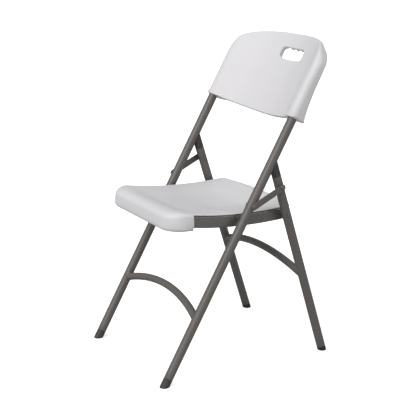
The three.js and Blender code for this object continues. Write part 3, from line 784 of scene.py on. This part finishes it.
def link_plate(name, side, body):
    """A flat bar with round ends: a stadium outline, drawn as rings from the middle of one
    face over the rounded edges to the middle of the other."""
    a = FRONT.place(0.0, 0.0, LINK_FRONT)
    b = REAR.place(0.0, 0.0, LINK_REAR)
    run = b - a
    length = np.linalg.norm(run)
    run /= length
    across = np.cross([1.0, 0.0, 0.0], run)
    radius, ease = 0.009, 0.0007
    turn = np.linspace(-np.pi / 2, np.pi / 2, 28)
    rings = []
    for inset, x in ((0.004, 0.0), (ease, 0.0), (0.3 * ease, 0.3 * ease), (0.0, ease),
                     (0.0, LINK_THICK - ease), (0.3 * ease, LINK_THICK - 0.3 * ease),
                     (ease, LINK_THICK), (0.004, LINK_THICK)):
        r = radius - inset
        far = np.stack([length + r * np.cos(turn), r * np.sin(turn)], -1)
        near = np.stack([-r * np.cos(turn), -r * np.sin(turn)], -1)
        flat = np.vstack([far, near])
        ring = a + flat[:, :1] * run + flat[:, 1:] * across
        ring[:, 0] = side * (LINK_X + x)
        rings.append(ring)
    piece = lofted(f"{name}_bar", np.stack(rings), body, PAINT, 35, flip=side < 0)
    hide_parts(name)


def rivet_head(name, place, side, base_x, radius, rise, body, replaced=()):
    """A domed head, part of a sphere with a short straight edge, that faces outwards."""
    turn = np.linspace(0, np.pi / 2, 12)
    profile = [(radius * 0.55, 0.0), (radius - 0.0003, 0.0), (radius, 0.0003), (radius, 0.0007)]
    profile += [(radius * np.cos(t), 0.0007 + (rise - 0.0007) * np.sin(t)) for t in turn[1:-1]]
    profile += [(radius * 0.06, rise)]
    origin = place.copy()
    origin[0] = side * base_x
    piece = turned(name, profile, origin, (side, 0, 0), body, STEEL, 36, 50)
    if replaced:
        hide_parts(*replaced)


def washer(name, place, side, base_x, radius, thick, body):
    """A flat disc with eased edges."""
    profile = [(0.0045, 0.0), (radius - 0.0002, 0.0), (radius, 0.0002), (radius, thick - 0.0002),
               (radius - 0.0002, thick), (0.0045, thick)]
    origin = place.copy()
    origin[0] = side * base_x
    piece = turned(name + "_disc", profile, origin, (side, 0, 0), body, NYLON, 36, 30)
    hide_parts(name)


for label, side in SIDES:
    seat_pin = FRONT.place(0.0, 0.0, SEAT_PIVOT)
    link_pin = FRONT.place(0.0, 0.0, LINK_FRONT)
    leg_pin = REAR.place(0.0, 0.0, LEG_PIVOT)
    rear_pin = REAR.place(0.0, 0.0, LINK_REAR)
    head_x = LINK_X + LINK_THICK + 0.0001
    link_body = f"fold_link_{label}"
    link_plate(f"link_{label}", side, link_body)
    washer(f"link_front_washer_{label}", link_pin, side, OUTER_FACE + 0.0002, 0.0085, 0.0014,
           "frame")
    washer(f"link_rear_washer_{label}", rear_pin, side, OUTER_FACE + 0.0002, 0.0085, 0.0014,
           link_body)
    rivet_head(f"link_front_head_{label}", link_pin, side, head_x, 0.0062, 0.0035, "frame")
    rivet_head(f"link_rear_head_{label}", rear_pin, side, head_x, 0.0062, 0.0035, link_body,
               [f"link_rear_rivet_{label}"])
    rivet_head(f"seat_pivot_head_{label}", seat_pin, side, OUTER_FACE + 0.0001, 0.0062, 0.0013,
               "frame")
    rivet_head(f"leg_pivot_head_{label}", leg_pin, side, OUTER_FACE + 0.0001, 0.0067, 0.0029,
               "rear_legs")
    inner = rear_pin.copy()
    inner[0] = side * (INNER_FACE - 0.0001)
    turned(f"link_tail_head_{label}",
           [(0.0058, 0.0), (0.0062, 0.0005), (0.0055, 0.0016), (0.0035, 0.0025), (0.0004, 0.0028)],
           inner, (-side, 0, 0), "rear_legs", STEEL, 36, 50)


# ---------- stage, light and camera ----------

FLOOR_CAST = 0.48
FLOOR_GLOW = 0.55

def seen_or_cast(tree, seen, cast):
    """A number that is seen where the camera looks straight at a surface, and cast for the
    light that the surface sends on to the chair."""
    path = tree.nodes.new("ShaderNodeLightPath")
    pick = tree.nodes.new("ShaderNodeMapRange")
    pick.inputs["To Min"].default_value = cast
    pick.inputs["To Max"].default_value = seen
    tree.links.new(path.outputs["Is Camera Ray"], pick.inputs["Value"])
    return pick.outputs["Result"]


def stage_floor():
    """A wide pale floor. It lights the chair from below less than its own paleness would."""
    material = bpy.data.materials.new("studio_floor")
    material.use_nodes = True
    tree = material.node_tree
    shader = tree.nodes["Principled BSDF"]
    tree.links.new(seen_or_cast(tree, 0.93, FLOOR_CAST), shader.inputs["Base Color"])
    shader.inputs["Roughness"].default_value = 0.9
    shader.inputs["Specular IOR Level"].default_value = 0.1
    shader.inputs["Emission Color"].default_value = (1, 1, 1, 1)
    tree.links.new(seen_or_cast(tree, FLOOR_GLOW, 0.0), shader.inputs["Emission Strength"])
    mesh = bpy.data.meshes.new("studio_floor")
    size = 40.0
    mesh.from_pydata([(-size, -size, 0), (size, -size, 0), (size, size, 0), (-size, size, 0)], [],
                     [(0, 1, 2, 3)])
    mesh.materials.append(material)
    floor = bpy.data.objects.new("studio_floor", mesh)
    bpy.context.scene.collection.objects.link(floor)


def far_light(name, towards, strength, spread_deg):
    """A distant light whose rays travel along towards, softened over a wide angle."""
    data = bpy.data.lights.new(name, "SUN")
    data.energy = strength
    data.angle = math.radians(spread_deg)
    light = bpy.data.objects.new(name, data)
    light.rotation_euler = Vector(towards).to_track_quat("-Z", "Y").to_euler()
    bpy.context.scene.collection.objects.link(light)


def world_light(strength):
    """An even white room round the floor."""
    world = bpy.data.worlds.new("studio")
    world.use_nodes = True
    tree = world.node_tree
    background = tree.nodes["Background"]
    background.inputs["Color"].default_value = (1, 1, 1, 1)
    tree.links.new(seen_or_cast(tree, 1.0, strength), background.inputs["Strength"])
    bpy.context.scene.world = world


def studio_camera():
    """The camera stands to the sitter's left and front, above seat height."""
    place = Vector(CAMERA_PLACE)
    right = Vector(CAMERA_RIGHT)
    up = Vector(CAMERA_UP)
    data = bpy.data.cameras.new("camera")
    data.sensor_width = 36.0
    data.lens = CAMERA_LENS
    data.shift_x, data.shift_y = CAMERA_SHIFT
    camera = bpy.data.objects.new("camera", data)
    rotation = Matrix((right, up, right.cross(up))).transposed()
    camera.matrix_world = Matrix.Translation(place) @ rotation.to_4x4()
    bpy.context.scene.collection.objects.link(camera)
    bpy.context.scene.camera = camera


stage_floor()
world_light(WORLD_STRENGTH)
far_light("key", KEY_DIRECTION, KEY_STRENGTH, KEY_SPREAD)
far_light("rim", RIM_DIRECTION, RIM_STRENGTH, RIM_SPREAD)
bpy.context.scene.view_settings.view_transform = "Standard"
studio_camera()
